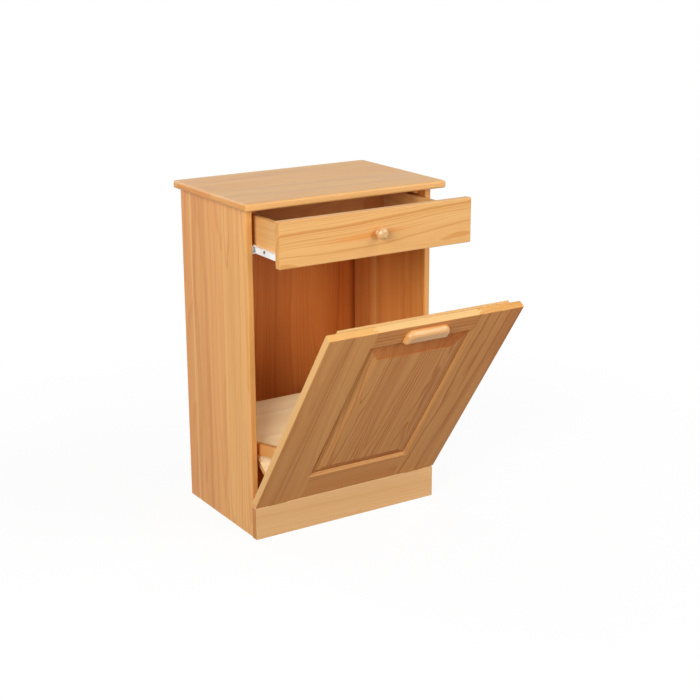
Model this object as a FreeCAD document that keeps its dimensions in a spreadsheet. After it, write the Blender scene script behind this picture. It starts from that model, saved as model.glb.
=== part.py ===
"""Tilt-out waste cabinet in lacquered pine, drawn as separate pieces.

The origin is the middle of the kickboard's underside, with X to the right,
Y from front to back and Z up. Every piece is drawn with the drawer pushed in
and the door shut. The drawer's pieces are then set forward by drawer_pull,
and the door's pieces are turned by tilt_angle about the hinge pins.
"""
import FreeCAD
import Part
import Sketcher
import os
import re

doc = FreeCAD.newDocument("TiltOutCabinet")

# Sizes that are chosen, in millimetres and degrees
CHOSEN = (
    ("body_width", 508, "outside to outside of the side panels"),
    ("side_thickness", 17, "side panels"),
    ("side_depth", 326, "side panels, front to back"),
    ("side_height", 795, "floor to the underside of the top"),
    ("side_easing", 3, "rounding of the side panels' front edges"),
    ("top_thickness", 18, "top board"),
    ("top_side_overhang", 20, "top board beyond each side panel"),
    ("top_front_overhang", 16, "top board beyond the shut fronts"),
    ("top_easing", 6, "rounding of the top board"),
    ("kick_lap", 2, "kickboard past each side panel"),
    ("kick_height", 80, "floor to the top of the kickboard"),
    ("kick_thickness", 20, "kickboard"),
    ("kick_easing", 2.5, "rounding of the kickboard"),
    ("back_thickness", 12, "back panel"),
    ("floor_thickness", 16, "floor board"),
    ("floor_height", 66, "top of the floor board"),
    ("cleat_width", 18, "cleats under the top board"),
    ("cleat_height", 16, "cleats under the top board"),
    ("cleat_setback", 20, "cleats behind the carcass front"),
    ("cleat_hole_inset", 40, "screws from the ends of the cleats"),
    ("front_lap", 4, "door and drawer front past each side panel"),
    ("front_easing", 2.5, "rounding of door and drawer front"),
    ("closing_gap", 0.8, "shut fronts to the carcass"),
    ("front_reveal", 2.5, "gap between kickboard, door and drawer front"),
    ("top_reveal", 2, "gap between drawer front and top board"),
    ("drawer_front_height", 106, "drawer front"),
    ("drawer_pull", 137, "how far the drawer stands open"),
    ("box_lift", 3, "drawer box above the drawer front's lower edge"),
    ("box_headroom", 4, "drawer sides to the cleats"),
    ("box_room", 24.8, "shut drawer to the back panel"),
    ("box_thickness", 12, "drawer sides and back"),
    ("box_easing", 1.5, "rounding of the drawer sides' top edges"),
    ("box_back_drop", 6, "drawer back below the top of the sides"),
    ("bottom_thickness", 4, "drawer bottom"),
    ("bottom_lift", 12, "drawer bottom above the lower edge of the sides"),
    ("bottom_groove", 5, "depth of the groove for the drawer bottom"),
    ("groove_slack", 0.15, "room around the drawer bottom"),
    ("runner_gap", 12.5, "drawer side to side panel"),
    ("runner_sheet", 1.2, "steel of the tracks and rails"),
    ("runner_height", 19, "upright of a drawer rail"),
    ("runner_setback", 2, "tracks behind the carcass front"),
    ("rail_width", 7.2, "running flange of a drawer rail"),
    ("lip_width", 8.3, "lips of a track"),
    ("roller_radius", 7.2, "rollers"),
    ("roller_width", 5.5, "rollers"),
    ("roller_inset", 15, "roller axles from the end of the track or rail"),
    ("axle_radius", 2.5, "roller axles"),
    ("axle_slack", 0.06, "axle in roller"),
    ("rolling_gap", 0.3, "roller to the steel it runs on"),
    ("knob_radius", 14, "knob"),
    ("knob_projection", 25, "knob in front of the drawer front"),
    ("knob_neck_radius", 7, "knob at its neck"),
    ("knob_foot_radius", 9, "knob where it meets the drawer front"),
    ("knob_foot", 2, "thickness of the knob's foot"),
    ("knob_face_radius", 8, "flat of the knob's crown"),
    ("knob_round", 6, "rounding of the knob's widest part"),
    ("knob_crown_round", 4, "rounding of the knob's crown"),
    ("tilt_angle", 34.5, "how far the door stands open"),
    ("stile_width", 124, "door stiles"),
    ("top_rail_width", 56, "upper door rail"),
    ("bottom_rail_width", 90, "lower door rail"),
    ("panel_groove_setback", 7, "panel groove behind the door's face"),
    ("panel_groove_width", 6.4, "panel groove"),
    ("panel_groove_depth", 10, "panel groove"),
    ("joint_slack", 0.1, "tongues and panel in their grooves"),
    ("sticking_width", 6, "sloped inner border of the door frame"),
    ("sticking_depth", 5, "sloped inner border of the door frame"),
    ("panel_bevel", 31, "upright borders of the raised panel"),
    ("panel_top_bevel", 43, "upper border of the raised panel"),
    ("panel_bottom_bevel", 27, "lower border of the raised panel"),
    ("panel_recess", 0.5, "raised field behind the door's face"),
    ("panel_shoulder", 1, "step around the raised field"),
    ("panel_slack", 1.5, "room for the panel to move in its grooves"),
    ("handle_length", 114, "door pull"),
    ("handle_height", 33, "door pull"),
    ("handle_projection", 15, "door pull in front of the door"),
    ("handle_drop", 13, "door pull below the door's top edge"),
    ("handle_shoulder", 16, "rounding of the door pull's upper corners"),
    ("handle_round", 11, "rounding of the door pull's front"),
    ("handle_hole_spacing", 80, "screws of the door pull"),
    ("liner_thickness", 6, "lining panel"),
    ("liner_side_gap", 10, "lining panel to side panel"),
    ("shelf_lift", 67, "top of the bin shelf above the door's lower edge"),
    ("shelf_thickness", 12, "bin shelf"),
    ("shelf_side_gap", 11, "bin shelf to side panel"),
    ("shelf_reach", 254, "back of the bin shelf from the door's face"),
    ("batten_height", 19, "batten under the bin shelf"),
    ("batten_depth", 20, "batten under the bin shelf"),
    ("batten_hole_spacing", 200, "screws of the batten into the lower rail"),
    ("brace_width", 27, "slanting braces"),
    ("brace_thickness", 14, "slanting braces"),
    ("brace_leg", 120, "braces along the shelf and up the lining"),
    ("hinge_length", 50, "hinge leaves"),
    ("hinge_setback", 3, "hinge pins behind the door's face"),
    ("hinge_hole_spacing", 32, "screws of a leaf"),
    ("barrel_radius", 2.5, "hinge knuckles"),
    ("knuckle_length", 17.6, "middle knuckle"),
    ("knuckle_gap", 0.3, "between knuckles and leaves"),
    ("leaf_depth", 16, "hinge leaves behind the pin"),
    ("pin_radius", 1.2, "hinge pins"),
    ("pin_slack", 0.05, "pin in knuckle"),
    ("mortise_slack", 0.2, "hinge mortises"),
    ("peg_radius", 8, "stop pegs"),
    ("peg_reach", 20, "stop pegs inside the cabinet"),
    ("peg_socket", 8, "stop pegs inside the side panel"),
    ("peg_setback", 20, "stop pegs from the shelf's back edge"),
    ("peg_slack", 0.05, "peg in its hole"),
    ("stop_gap", 0.3, "open shelf to the stop pegs"),
    ("screw_radius", 1.9, "larger screws"),
    ("screw_head_radius", 3.6, "larger screws"),
    ("screw_head_height", 1.4, "larger screws"),
    ("screw_grip", 12, "larger screws in the second piece"),
    ("pin_screw_radius", 1.4, "hinge screws"),
    ("pin_screw_head_radius", 2.6, "hinge screws"),
    ("pin_screw_head_height", 0.8, "hinge screws"),
    ("pin_screw_length", 15, "hinge screws"),
    ("screw_slack", 0.1, "screws in their holes"),
)

# Sizes that follow from those
DERIVED = (
    ("half_body", "=body_width / 2"),
    ("inner_half", "=half_body - side_thickness"),
    ("half_top", "=half_body + top_side_overhang"),
    ("half_kick", "=half_body + kick_lap"),
    ("half_front", "=half_body + front_lap"),
    ("front_face", "=-kick_thickness / 2"),
    ("carcass_front", "=kick_thickness / 2"),
    ("carcass_back", "=carcass_front + side_depth"),
    ("back_face", "=carcass_back - back_thickness"),
    ("front_inside", "=carcass_front - closing_gap"),
    ("drawer_high", "=side_height - top_reveal"),
    ("drawer_low", "=drawer_high - drawer_front_height"),
    ("door_low", "=kick_height + front_reveal"),
    ("door_high", "=drawer_low - front_reveal"),
    ("box_half", "=inner_half - runner_gap"),
    ("box_inner", "=box_half - box_thickness"),
    ("box_low", "=drawer_low + box_lift"),
    ("box_high", "=side_height - cleat_height - box_headroom"),
    ("box_back", "=back_face - box_room"),
    ("box_length", "=box_back - front_inside"),
    ("bottom_low", "=box_low + bottom_lift"),
    ("bottom_high", "=bottom_low + bottom_thickness"),
    ("track_front", "=carcass_front + runner_setback"),
    ("track_back", "=track_front + box_length"),
    ("track_face", "=inner_half - runner_sheet"),
    ("rail_face", "=box_half + runner_sheet"),
    ("rail_high", "=box_low - runner_sheet + runner_height"),
    ("roller_height", "=rail_high - runner_sheet - rolling_gap - roller_radius"),
    ("roller_middle", "=(track_face + rail_face) / 2"),
    ("roller_near", "=roller_middle - roller_width / 2"),
    ("roller_far", "=roller_middle + roller_width / 2"),
    ("track_low", "=roller_height - roller_radius - rolling_gap"),
    ("track_high", "=rail_high + rolling_gap"),
    ("knob_height", "=(drawer_low + drawer_high) / 2"),
    ("stile_edge", "=half_front - stile_width"),
    ("stile_middle", "=half_front - stile_width / 2"),
    ("opening_low", "=door_low + bottom_rail_width"),
    ("opening_high", "=door_high - top_rail_width"),
    ("groove_near", "=front_face + panel_groove_setback"),
    ("groove_far", "=groove_near + panel_groove_width"),
    ("handle_high", "=door_high - handle_drop"),
    ("handle_low", "=handle_high - handle_height"),
    ("liner_half", "=inner_half - liner_side_gap"),
    ("liner_back", "=front_inside + liner_thickness"),
    ("shelf_half", "=inner_half - shelf_side_gap"),
    ("shelf_high", "=door_low + shelf_lift"),
    ("shelf_low", "=shelf_high - shelf_thickness"),
    ("shelf_back", "=front_face + shelf_reach"),
    ("batten_back", "=front_inside + batten_depth"),
    ("batten_low", "=shelf_low - batten_height"),
    ("brace_foot", "=brace_width * sqrt(2)"),
    ("hinge_back", "=front_face + hinge_setback"),
    ("hinge_height", "=kick_height + front_reveal / 2"),
    ("leaf_thickness", "=barrel_radius - front_reveal / 2"),
    ("leaf_front", "=hinge_back + barrel_radius + knuckle_gap"),
    ("leaf_back", "=hinge_back + leaf_depth"),
    ("leaf_middle", "=(leaf_front + leaf_back) / 2"),
    ("stop_arm", "=shelf_back - peg_setback - hinge_back"),
    ("stop_rise", "=shelf_high + peg_radius + stop_gap - hinge_height"),
    ("stop_depth", "=hinge_back + stop_arm * cos(tilt_angle) - stop_rise * sin(tilt_angle)"),
    ("stop_height", "=hinge_height + stop_arm * sin(tilt_angle) + stop_rise * cos(tilt_angle)"),
)

sheet = doc.addObject("Spreadsheet::Sheet", "Sizes")
row = 0
for alias, number, meaning in CHOSEN:
    row += 1
    sheet.set(f"A{row}", alias)
    sheet.set(f"B{row}", str(number))
    sheet.setAlias(f"B{row}", alias)
    sheet.set(f"C{row}", meaning)
for alias, text in DERIVED:
    row += 1
    sheet.set(f"A{row}", alias)
    sheet.set(f"B{row}", text)
    sheet.setAlias(f"B{row}", alias)
doc.recompute()

SIDES = (("left", -1), ("right", 1))
TURNS = (
    FreeCAD.Rotation(FreeCAD.Vector(0, 1, 0), 90),
    FreeCAD.Rotation(FreeCAD.Vector(1, 0, 0), -90),
    FreeCAD.Rotation(),
)


def at(text):
    """A formula with the name of every size pointed at the sheet."""
    return re.sub(r"[a-z_]+", lambda found: "Sizes." + found.group(), text)


def value(text):
    """The number that a formula gives."""
    return float(sheet.evalExpression(at(text)))


def bind(feature, **formulas):
    """Tie properties of a feature to formulas."""
    for name, text in formulas.items():
        feature.setExpression(name, at(text))


def place(feature, *formulas):
    """Tie the position of a feature to a formula for X, Y and Z."""
    for axis, text in zip("xyz", formulas):
        feature.setExpression("Placement.Base." + axis, at(text))


def span(sign, near, far):
    """A stretch of X on one side of the middle, measured outwards."""
    if sign > 0:
        return (near, far)
    return (f"-({far})", f"-({near})")


def about(centre, half):
    """A stretch that reaches equally far to both sides of a centre."""
    return (f"{centre} - ({half})", f"{centre} + ({half})")


def fit(feature, x, y, z):
    """Make a box reach from the low to the high formula on each axis."""
    for side, (low, high) in zip(("Length", "Width", "Height"), (x, y, z)):
        feature.setExpression(side, at(f"{high} - ({low})"))
    place(feature, x[0], y[0], z[0])


def block(name, x, y, z):
    """A square-edged block."""
    stock = doc.addObject("Part::Box", name)
    fit(stock, x, y, z)
    return stock


def lies_on(edge, shape, face):
    """Whether an edge runs along an outer face such as -y."""
    axis = face[1].upper()
    if face[0] == "-":
        return getattr(edge.BoundBox, axis + "Max") - getattr(shape.BoundBox, axis + "Min") < 0.01
    return getattr(shape.BoundBox, axis + "Max") - getattr(edge.BoundBox, axis + "Min") < 0.01


def edges_on(shape, faces, square=()):
    """Names of the edges on some outer faces, leaving out other faces' edges."""
    names = []
    for number, edge in enumerate(shape.Edges, start=1):
        wanted = any(lies_on(edge, shape, face) for face in faces)
        kept_square = any(lies_on(edge, shape, face) for face in square)
        if wanted and not kept_square:
            names.append(f"Edge{number}")
    return names


def round_edges(shape, radius):
    """Names of a turned piece's edges that have some radius."""
    names = []
    for number, edge in enumerate(shape.Edges, start=1):
        if edge.Closed and abs(edge.BoundBox.XLength / 2 - value(radius)) < 0.01:
            names.append(f"Edge{number}")
    return names


def ease(body, name, radius, edges):
    """Round some edges of the last feature of a body."""
    base = body.Tip
    rounding = body.newObject("PartDesign::Fillet", name)
    rounding.Base = (base, edges)
    bind(rounding, Radius=radius)
    doc.recompute()
    return rounding


def board(name, x, y, z, radius, faces, square=()):
    """A board with rounded edges on the faces that are named."""
    body = doc.addObject("PartDesign::Body", name + "_body")
    stock = body.newObject("PartDesign::AdditiveBox", name + "_stock")
    fit(stock, x, y, z)
    doc.recompute()
    ease(body, name + "_easing", radius, edges_on(stock.Shape, faces, square))
    return body


def rod(name, x, y, z, radius):
    """A round rod along the axis that is given as a low and a high end."""
    spot = [x, y, z]
    along = [isinstance(part, tuple) for part in spot].index(True)
    low, high = spot[along]
    stock = doc.addObject("Part::Cylinder", name)
    bind(stock, Radius=radius, Height=f"{high} - ({low})")
    stock.Placement = FreeCAD.Placement(FreeCAD.Vector(), TURNS[along])
    spot[along] = low
    place(stock, *spot)
    return stock


def joined(name, *solids):
    """Several solids made into one."""
    whole = doc.addObject("Part::MultiFuse", name)
    whole.Shapes = list(solids)
    whole.Refine = True
    return whole


def less(name, base, *tools):
    """A solid with the shapes of the tools taken out of it."""
    remainder = doc.addObject("Part::Cut", name)
    remainder.Base = base
    if len(tools) == 1:
        remainder.Tool = tools[0]
    else:
        remainder.Tool = joined(name + "_tools", *tools)
    return remainder


def outline(body, name, points):
    """A closed outline of straight lines through points given as formulas."""
    sketch = body.newObject("Sketcher::SketchObject", name)
    spots = [FreeCAD.Vector(value(across), value(up), 0) for across, up in points]
    count = len(spots)
    for number in range(count):
        sketch.addGeometry(Part.LineSegment(spots[number], spots[(number + 1) % count]))
    for number in range(count):
        sketch.addConstraint(Sketcher.Constraint("Coincident", number, 2, (number + 1) % count, 1))
    for number, point in enumerate(points):
        for kind, text in zip(("DistanceX", "DistanceY"), point):
            rule = Sketcher.Constraint(kind, -1, 1, number, 1, value(text))
            sketch.setExpression(f"Constraints[{sketch.addConstraint(rule)}]", at(text))
    return sketch


def wedge(name, x, y, z, far_x, far_z):
    """A block with sloping borders: one rectangle at its low Y, another at its high Y."""
    stock = doc.addObject("Part::Wedge", name)
    bind(stock, Xmin=x[0], Xmax=x[1], Ymin=y[0], Ymax=y[1], Zmin=z[0], Zmax=z[1])
    bind(stock, X2min=far_x[0], X2max=far_x[1], Z2min=far_z[0], Z2max=far_z[1])
    return stock


def screw(name, x, y, z, kind="screw", sunk=False):
    """A screw along the axis given as the seat of its head and its tip, and its hole."""
    spot = [x, y, z]
    along = [isinstance(part, tuple) for part in spot].index(True)
    seat, tip = spot[along]
    sign = 1 if value(tip) > value(seat) else -1
    crown = f"{seat} - ({sign}) * {kind}_head_height"

    def length(first, last):
        ends = (first, last) if sign > 0 else (last, first)
        return spot[:along] + [ends] + spot[along + 1:]

    solid = joined(
        name,
        rod(name + "_shank", *length(seat, tip), f"{kind}_radius"),
        rod(name + "_head", *length(crown, seat), f"{kind}_head_radius"),
    )
    bore = length(f"{seat} - ({sign})", f"{tip} + ({sign})")
    hole = rod(name + "_bore", *bore, f"{kind}_radius + screw_slack")
    if sunk:
        sink = length(f"{crown} - ({sign})", seat)
        wide = rod(name + "_sink", *sink, f"{kind}_head_radius + screw_slack")
        hole = joined(name + "_hole", hole, wide)
    return solid, hole


REST = {
    "cabinet": FreeCAD.Placement(),
    "drawer": FreeCAD.Placement(FreeCAD.Vector(0, -value("drawer_pull"), 0), FreeCAD.Rotation()),
    "door": FreeCAD.Placement(
        FreeCAD.Vector(),
        FreeCAD.Rotation(FreeCAD.Vector(1, 0, 0), value("tilt_angle")),
        FreeCAD.Vector(0, value("hinge_back"), value("hinge_height")),
    ),
}
pieces = []


def piece(label, group, *solids):
    """A finished piece, set where its group stands in the finished model."""
    whole = doc.addObject("Part::Compound", label)
    whole.Label = label
    whole.Links = list(solids)
    whole.Placement = REST[group]
    pieces.append(whole)


DOOR_Y = ("front_face", "front_inside")
CARCASS_Y = ("carcass_front", "carcass_back")
BETWEEN_SIDES = ("-inner_half", "inner_half")

# Top board, held by screws through two cleats
top_holes = []
top_screws = []
for side, sign in SIDES:
    cleat = block(
        f"top_cleat_{side}_stock",
        span(sign, "inner_half - cleat_width", "inner_half"),
        ("carcass_front + cleat_setback", "back_face"),
        ("side_height - cleat_height", "side_height"),
    )
    holes = []
    cleat_spots = ("carcass_front + cleat_setback + cleat_hole_inset", "back_face - cleat_hole_inset")
    for number, spot in enumerate(cleat_spots):
        solid, hole = screw(
            f"top_screw_{side}_{number}",
            f"({sign}) * (inner_half - cleat_width / 2)",
            spot,
            ("side_height - cleat_height", "side_height + top_thickness * 0.6"),
        )
        top_screws.append(solid)
        holes.append(hole)
    top_holes.extend(holes)
    piece(f"top_cleat_{side}", "cabinet", less(f"top_cleat_{side}_drilled", cleat, *holes))
top_stock = board(
    "top",
    ("-half_top", "half_top"),
    ("front_face - top_front_overhang", "carcass_back"),
    ("side_height", "side_height + top_thickness"),
    "top_easing",
    ("-x", "+x", "-y"),
)
piece("top_board", "cabinet", less("top_drilled", top_stock, *top_holes))
piece("top_screws", "cabinet", *top_screws)

# Side panels with the stop pegs, the drawer tracks and their front rollers
pegs = []
track_screws = []
for side, sign in SIDES:
    panel = board(
        f"side_{side}",
        span(sign, "inner_half", "half_body"),
        CARCASS_Y,
        ("0", "side_height"),
        "side_easing",
        ("-y",),
    )
    peg_reach = span(sign, "inner_half - peg_reach", "inner_half + peg_socket")
    pegs.append(rod(f"stop_peg_{side}", peg_reach, "stop_depth", "stop_height", "peg_radius"))
    socket = rod(f"peg_hole_{side}", peg_reach, "stop_depth", "stop_height", "peg_radius + peg_slack")

    track_y = ("track_front", "track_back")
    web = block(
        f"track_web_{side}",
        span(sign, "track_face", "inner_half"),
        track_y,
        ("track_low - runner_sheet", "track_high + runner_sheet"),
    )
    lip_x = span(sign, "track_face - lip_width", "track_face")
    lower_lip = block(f"track_lower_{side}", lip_x, track_y, ("track_low - runner_sheet", "track_low"))
    upper_lip = block(f"track_upper_{side}", lip_x, track_y, ("track_high", "track_high + runner_sheet"))
    axle = rod(
        f"track_axle_{side}",
        span(sign, "roller_near - rolling_gap", "track_face"),
        "track_front + roller_inset",
        "roller_height",
        "axle_radius",
    )
    track = joined(f"track_{side}", web, lower_lip, upper_lip, axle)
    holes = []
    for number, share in enumerate(("0.2", "0.55", "0.9")):
        solid, hole = screw(
            f"track_screw_{side}_{number}",
            (f"({sign}) * track_face", f"({sign}) * (inner_half + side_thickness * 0.6)"),
            f"track_front + box_length * {share}",
            "roller_height",
        )
        track_screws.append(solid)
        holes.append(hole)
    piece(f"side_panel_{side}", "cabinet", less(f"side_drilled_{side}", panel, socket, *holes))
    piece(f"runner_track_{side}", "cabinet", less(f"track_drilled_{side}", track, *holes))

    roller_x = span(sign, "roller_near", "roller_far")
    for label, group, spot in (
        ("front_roller", "cabinet", "track_front + roller_inset"),
        ("rear_roller", "drawer", "box_back - roller_inset"),
    ):
        wheel = rod(f"{label}_wheel_{side}", roller_x, spot, "roller_height", "roller_radius")
        bore = rod(f"{label}_bore_{side}", roller_x, spot, "roller_height", "axle_radius + axle_slack")
        piece(f"{label}_{side}", group, less(f"{label}_bored_{side}", wheel, bore))
piece("stop_pegs", "cabinet", *pegs)
piece("runner_track_screws", "cabinet", *track_screws)

# Back panel and floor board
piece(
    "back_panel",
    "cabinet",
    block("back_stock", BETWEEN_SIDES, ("back_face", "carcass_back"), ("0", "side_height")),
)
piece(
    "floor_board",
    "cabinet",
    block(
        "floor_stock",
        BETWEEN_SIDES,
        ("carcass_front", "back_face"),
        ("floor_height - floor_thickness", "floor_height"),
    ),
)

# Butt hinges between the kickboard and the feet of the door stiles
kick_holes = []
stile_holes = {"left": [], "right": []}
fixed_leaves = []
door_leaves = []
hinge_pins = []
fixed_screws = []
door_screws = []
for side, sign in SIDES:
    centre = f"({sign}) * stile_middle"
    leaf_x = about(centre, "hinge_length / 2")
    seat_x = about(centre, "hinge_length / 2 + mortise_slack")
    middle_x = about(centre, "knuckle_length / 2")
    first_x = (leaf_x[0], f"{middle_x[0]} - knuckle_gap")
    last_x = (f"{middle_x[1]} + knuckle_gap", leaf_x[1])
    leaf_y = ("leaf_front", "leaf_back")
    arm_y = ("hinge_back", "leaf_front")
    fixed_z = ("kick_height - leaf_thickness", "kick_height")
    door_z = ("door_low", "door_low + leaf_thickness")
    bore = rod(f"hinge_bore_{side}", leaf_x, "hinge_back", "hinge_height", "pin_radius + pin_slack")

    fixed_parts = [block(f"fixed_leaf_{side}", leaf_x, leaf_y, fixed_z)]
    for number, knuckle_x in enumerate((first_x, last_x)):
        fixed_parts.append(block(f"fixed_arm_{side}_{number}", knuckle_x, arm_y, fixed_z))
        fixed_parts.append(
            rod(f"fixed_knuckle_{side}_{number}", knuckle_x, "hinge_back", "hinge_height", "barrel_radius")
        )
    door_parts = [
        block(f"door_leaf_{side}", leaf_x, leaf_y, door_z),
        block(f"door_arm_{side}", middle_x, arm_y, door_z),
        rod(f"door_knuckle_{side}", middle_x, "hinge_back", "hinge_height", "barrel_radius"),
    ]
    fixed_bores = [bore]
    door_bores = [bore]
    for number, offset in enumerate(("-hinge_hole_spacing / 2", "hinge_hole_spacing / 2")):
        solid, hole = screw(
            f"fixed_screw_{side}_{number}",
            f"{centre} + ({offset})",
            "leaf_middle",
            ("kick_height - pin_screw_head_height", "kick_height - pin_screw_length"),
            "pin_screw",
            True,
        )
        fixed_screws.append(solid)
        fixed_bores.append(hole)
        kick_holes.append(hole)
        solid, hole = screw(
            f"door_screw_{side}_{number}",
            f"{centre} + ({offset})",
            "leaf_middle",
            ("door_low + pin_screw_head_height", "door_low + pin_screw_length"),
            "pin_screw",
            True,
        )
        door_screws.append(solid)
        door_bores.append(hole)
        stile_holes[side].append(hole)
    fixed_solid = joined(f"fixed_solid_{side}", *fixed_parts)
    fixed_leaves.append(less(f"fixed_hinge_{side}", fixed_solid, *fixed_bores))
    door_solid = joined(f"door_solid_{side}", *door_parts)
    door_leaves.append(less(f"door_hinge_{side}", door_solid, *door_bores))
    hinge_pins.append(rod(f"hinge_pin_{side}", leaf_x, "hinge_back", "hinge_height", "pin_radius"))

    seat_y = ("leaf_front", "leaf_back + mortise_slack")
    relief_y = ("front_face - 1", "leaf_front")
    kick_holes.append(block(f"kick_seat_{side}", seat_x, seat_y, (fixed_z[0], "kick_height + 1")))
    kick_holes.append(
        block(f"kick_relief_{side}", seat_x, relief_y, (f"{fixed_z[0]} - knuckle_gap", "kick_height + 1"))
    )
    stile_holes[side].append(block(f"stile_seat_{side}", seat_x, seat_y, ("door_low - 1", door_z[1])))
    stile_holes[side].append(
        block(f"stile_relief_{side}", seat_x, relief_y, ("door_low - 1", f"{door_z[1]} + knuckle_gap"))
    )
piece("hinge_leaves_fixed", "cabinet", *fixed_leaves)
piece("hinge_pins", "cabinet", *hinge_pins)
piece("hinge_screws_fixed", "cabinet", *fixed_screws)
piece("hinge_leaves_door", "door", *door_leaves)
piece("hinge_screws_door", "door", *door_screws)

kick_stock = board(
    "kick",
    ("-half_kick", "half_kick"),
    ("front_face", "carcass_front"),
    ("0", "kick_height"),
    "kick_easing",
    ("-x", "+x", "-y"),
    ("-z",),
)
piece("kickboard", "cabinet", less("kick_mortised", kick_stock, *kick_holes))

# Drawer box
bottom_z = ("bottom_low", "bottom_high")
bottom_groove_z = ("bottom_low - groove_slack", "bottom_high + groove_slack")
rail_screws = []
for side, sign in SIDES:
    flank = board(
        f"drawer_{side}",
        span(sign, "box_inner", "box_half"),
        ("front_inside", "box_back"),
        ("box_low", "box_high"),
        "box_easing",
        ("+z",),
        ("-y", "+y"),
    )
    groove = block(
        f"drawer_groove_{side}",
        span(sign, "box_inner - 1", "box_inner + bottom_groove"),
        ("front_inside - 1", "box_back + 1"),
        bottom_groove_z,
    )
    rail_y = ("front_inside + runner_setback", "box_back - runner_setback")
    upright = block(
        f"rail_upright_{side}",
        span(sign, "box_half", "rail_face"),
        rail_y,
        ("box_low - runner_sheet", "rail_high"),
    )
    foot = block(
        f"rail_foot_{side}",
        span(sign, "box_inner", "box_half"),
        rail_y,
        ("box_low - runner_sheet", "box_low"),
    )
    flange = block(
        f"rail_flange_{side}",
        span(sign, "rail_face", "rail_face + rail_width"),
        rail_y,
        ("rail_high - runner_sheet", "rail_high"),
    )
    axle = rod(
        f"rail_axle_{side}",
        span(sign, "rail_face", "roller_far + rolling_gap"),
        "box_back - roller_inset",
        "roller_height",
        "axle_radius",
    )
    rail = joined(f"rail_{side}", upright, foot, flange, axle)
    holes = []
    for number, share in enumerate(("0.1", "0.36", "0.7")):
        solid, hole = screw(
            f"rail_screw_{side}_{number}",
            (f"({sign}) * rail_face", f"({sign}) * (box_half - box_thickness * 0.7)"),
            f"front_inside + box_length * {share}",
            "roller_height",
        )
        rail_screws.append(solid)
        holes.append(hole)
    piece(f"drawer_side_{side}", "drawer", less(f"drawer_flank_{side}", flank, groove, *holes))
    piece(f"drawer_rail_{side}", "drawer", less(f"rail_drilled_{side}", rail, *holes))
piece("drawer_rail_screws", "drawer", *rail_screws)
piece(
    "drawer_back",
    "drawer",
    block(
        "drawer_back_stock",
        ("-box_inner", "box_inner"),
        ("box_back - box_thickness", "box_back"),
        ("bottom_high", "box_high - box_back_drop"),
    ),
)
piece(
    "drawer_bottom",
    "drawer",
    block(
        "drawer_bottom_stock",
        ("-(box_inner + bottom_groove - groove_slack)", "box_inner + bottom_groove - groove_slack"),
        ("front_inside - bottom_groove + groove_slack", "box_back"),
        bottom_z,
    ),
)

# Drawer front and its turned knob
drawer_front = board(
    "drawer_front",
    ("-half_front", "half_front"),
    DOOR_Y,
    ("drawer_low", "drawer_high"),
    "front_easing",
    ("-x", "+x", "-y", "-z", "+z"),
)
front_groove = block(
    "front_groove",
    ("-(box_inner + bottom_groove)", "box_inner + bottom_groove"),
    ("front_inside - bottom_groove", "front_inside + 1"),
    bottom_groove_z,
)
knob_screw, knob_hole = screw(
    "knob_fixing",
    "0",
    ("front_inside", "front_face - knob_projection * 0.6"),
    "knob_height",
)
knob_body = doc.addObject("PartDesign::Body", "knob_body")
knob_sketch = outline(
    knob_body,
    "knob_profile",
    (
        ("0", "front_face"),
        ("knob_foot_radius", "front_face"),
        ("knob_foot_radius", "front_face - knob_foot"),
        ("knob_neck_radius", "front_face - knob_projection * 0.16"),
        ("knob_neck_radius", "front_face - knob_projection * 0.2"),
        ("knob_radius", "front_face - knob_projection * 0.45"),
        ("knob_radius", "front_face - knob_projection * 0.75"),
        ("knob_face_radius", "front_face - knob_projection"),
        ("0", "front_face - knob_projection"),
    ),
)
knob_turning = knob_body.newObject("PartDesign::Revolution", "knob_turning")
knob_turning.Profile = knob_sketch
knob_turning.ReferenceAxis = (knob_sketch, ["V_Axis"])
knob_turning.Angle = 360
place(knob_body, "0", "0", "knob_height")
doc.recompute()
for rim, rim_radius, rim_round in (
    ("knob_rims", "knob_radius", "knob_round"),
    ("knob_crown", "knob_face_radius", "knob_crown_round"),
):
    ease(knob_body, rim, rim_round, round_edges(knob_body.Tip.Shape, rim_radius))
piece("drawer_front", "drawer", less("drawer_front_drilled", drawer_front, front_groove, knob_hole))
piece("drawer_knob", "drawer", less("knob_drilled", knob_body, knob_hole))
piece("knob_screw", "drawer", knob_screw)

# Door frame: grooved stiles, tongued rails and a sloped inner border
sticking = wedge(
    "sticking",
    ("-(stile_edge + sticking_width)", "stile_edge + sticking_width"),
    ("front_face", "front_face + sticking_depth"),
    ("opening_low - sticking_width", "opening_high + sticking_width"),
    ("-stile_edge", "stile_edge"),
    ("opening_low", "opening_high"),
)
groove_y = ("groove_near", "groove_far")
tongue_y = ("groove_near + joint_slack", "groove_far - joint_slack")
for side, sign in SIDES:
    outer, inner = ("-x", "+x") if sign < 0 else ("+x", "-x")
    stile = board(
        f"stile_{side}",
        span(sign, "stile_edge", "half_front"),
        DOOR_Y,
        ("door_low", "door_high"),
        "front_easing",
        (outer, "-z", "+z"),
        (inner,),
    )
    groove = block(
        f"stile_groove_{side}",
        span(sign, "stile_edge - 1", "stile_edge + panel_groove_depth"),
        groove_y,
        ("door_low - 1", "door_high + 1"),
    )
    cut_stile = less(f"stile_grooved_{side}", stile, groove, sticking, *stile_holes[side])
    piece(f"door_stile_{side}", "door", cut_stile)

handle_holes = []
handle_screws = []
for side, sign in SIDES:
    solid, hole = screw(
        f"handle_screw_{side}",
        f"({sign}) * handle_hole_spacing / 2",
        ("front_inside - screw_head_height * 1.4", "front_face - handle_projection * 0.65"),
        "(handle_low + handle_high) / 2",
        "screw",
        True,
    )
    handle_screws.append(solid)
    handle_holes.append(hole)
piece("handle_screws", "door", *handle_screws)

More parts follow.
